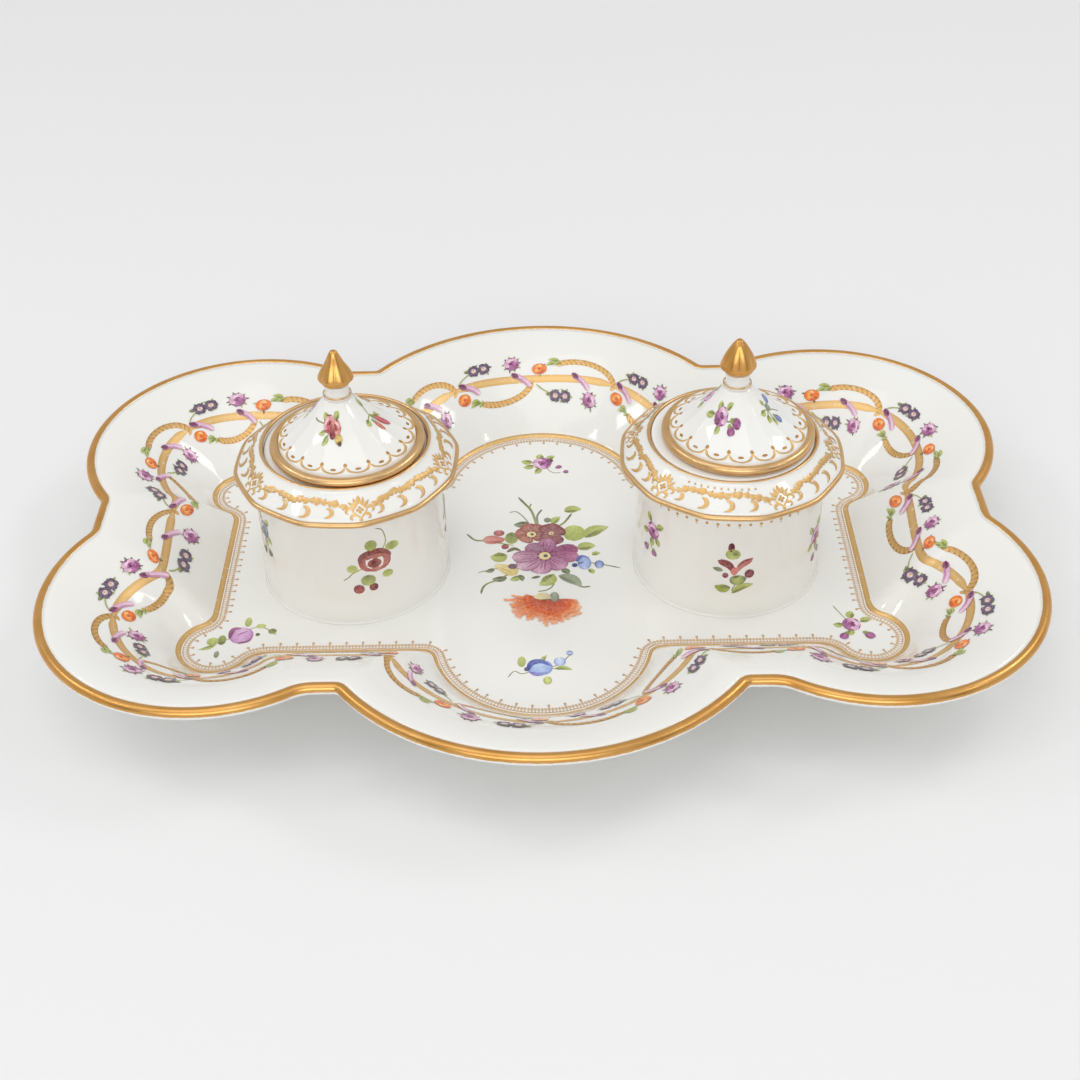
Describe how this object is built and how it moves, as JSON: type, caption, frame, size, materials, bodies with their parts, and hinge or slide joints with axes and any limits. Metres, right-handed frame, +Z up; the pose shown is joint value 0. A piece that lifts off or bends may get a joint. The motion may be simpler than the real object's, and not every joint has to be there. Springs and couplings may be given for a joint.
{
  "type": "porcelain desk inkstand",
  "caption": "Lobed porcelain pen tray with two luted ink wells, each with a lift-out liner and a fluted, lift-off lid with a gilded bud.",
  "frame": {"origin": "on the table, under the middle of the tray, at the underside of the foot ring", "axes": "+X along the tray from the left well to the right well, +Y towards the back, +Z up"},
  "size_m": [0.3028, 0.2256, 0.0894],
  "materials": {
    "porcelain": "clear glossy glaze over hard-paste porcelain, painted in overglaze enamels",
    "gilding": "burnished gilding fired over the glaze",
    "unglazed_porcelain": "bare biscuit porcelain, ground flat"
  },
  "bodies": {
    "tray": {"tray_dish": "porcelain", "tray_gilt_lip": "gilding", "tray_foot_ring": "unglazed_porcelain", "left_well_body": "porcelain", "left_hood": "porcelain", "left_hood_gilt_edge": "gilding", "right_well_body": "porcelain", "right_hood": "porcelain", "right_hood_gilt_edge": "gilding"},
    "left_liner": {"left_liner_pot": "porcelain"},
    "left_lid": {"left_lid": "porcelain", "left_lid_gilt_edge": "gilding", "left_lid_locating_ring": "porcelain", "left_lid_neck": "porcelain", "left_lid_bud": "gilding"},
    "right_liner": {"right_liner_pot": "porcelain"},
    "right_lid": {"right_lid": "porcelain", "right_lid_gilt_edge": "gilding", "right_lid_locating_ring": "porcelain", "right_lid_neck": "porcelain", "right_lid_bud": "gilding"}
  },
  "joints": [
    {"name": "left_liner_lift", "type": "slide", "parent": "tray", "child": "left_liner", "axis": [0, 0, 1], "range_m": [0, 0.06]},
    {"name": "left_lid_lift", "type": "slide", "parent": "left_liner", "child": "left_lid", "axis": [0, 0, 1], "range_m": [0, 0.045]},
    {"name": "right_liner_lift", "type": "slide", "parent": "tray", "child": "right_liner", "axis": [0, 0, 1], "range_m": [0, 0.06]},
    {"name": "right_lid_lift", "type": "slide", "parent": "right_liner", "child": "right_lid", "axis": [0, 0, 1], "range_m": [0, 0.045]}
  ]
}
